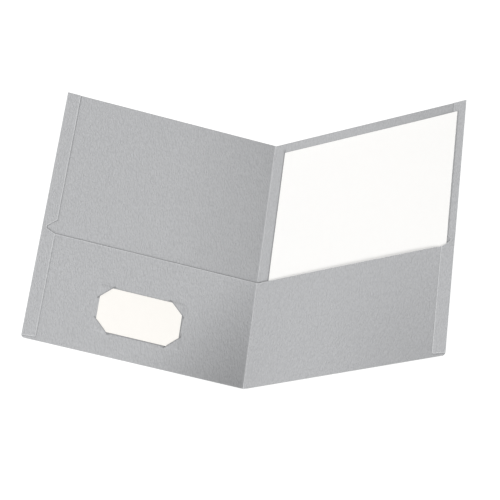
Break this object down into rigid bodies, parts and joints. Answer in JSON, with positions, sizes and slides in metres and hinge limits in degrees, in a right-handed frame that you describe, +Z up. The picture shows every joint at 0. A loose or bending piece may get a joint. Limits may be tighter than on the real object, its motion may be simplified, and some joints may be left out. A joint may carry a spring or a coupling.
{
  "type": "two pocket folder",
  "caption": "Open paper folder with inside pockets, glued side hems, a hinged front cover, card slits in the front pocket, a letter sheet and a blank card.",
  "frame": {"origin": "middle of the back cover's outer face, on the surface that the folder lies on", "axes": "+X from the spine to the back cover's outer edge, +Y from the bottom edge to the top edge, +Z up out of the back cover's inner face"},
  "size_m": [0.392, 0.298, 0.1837],
  "materials": {
    "cover_stock": "matte leather-grain embossed card stock",
    "glue": "clear dried glue",
    "sheet_paper": "smooth uncoated white paper",
    "card_board": "smooth warm white card"
  },
  "bodies": {
    "back": {"back_cover": "cover_stock", "back_bottom_fold": "cover_stock", "back_pocket": "cover_stock", "back_upper_side_fold": "cover_stock", "back_lower_side_fold": "cover_stock", "back_upper_hem": "cover_stock", "back_lower_hem": "cover_stock", "back_hem_glue": "glue", "back_pocket_glue": "glue", "spine_crease": "cover_stock", "pocket_crease": "cover_stock", "bottom_crease": "cover_stock"},
    "front": {"front_cover": "cover_stock", "front_bottom_fold": "cover_stock", "front_pocket": "cover_stock", "front_upper_side_fold": "cover_stock", "front_lower_side_fold": "cover_stock", "front_upper_hem": "cover_stock", "front_lower_hem": "cover_stock", "front_hem_glue": "glue", "front_pocket_glue": "glue", "card_corner_tabs": "cover_stock"},
    "sheet": {"letter_sheet": "sheet_paper"},
    "card": {"business_card": "card_board"}
  },
  "joints": [
    {"name": "spine_fold", "type": "hinge", "parent": "back", "child": "front", "pos_m": [-0.119, 0, 0.00155], "axis": [0, 1, 0], "range_deg": [-50, 129.2], "deforming": ["spine_crease", "pocket_crease", "bottom_crease"]},
    {"name": "sheet_slide", "type": "slide", "parent": "back", "child": "sheet", "axis": [0, 1, 0], "range_m": [-0.0055, 0.12]},
    {"name": "card_slide", "type": "slide", "parent": "front", "child": "card", "axis": [0, 1, 0], "range_m": [0, 0.055], "deforming": ["card_corner_tabs"]}
  ]
}
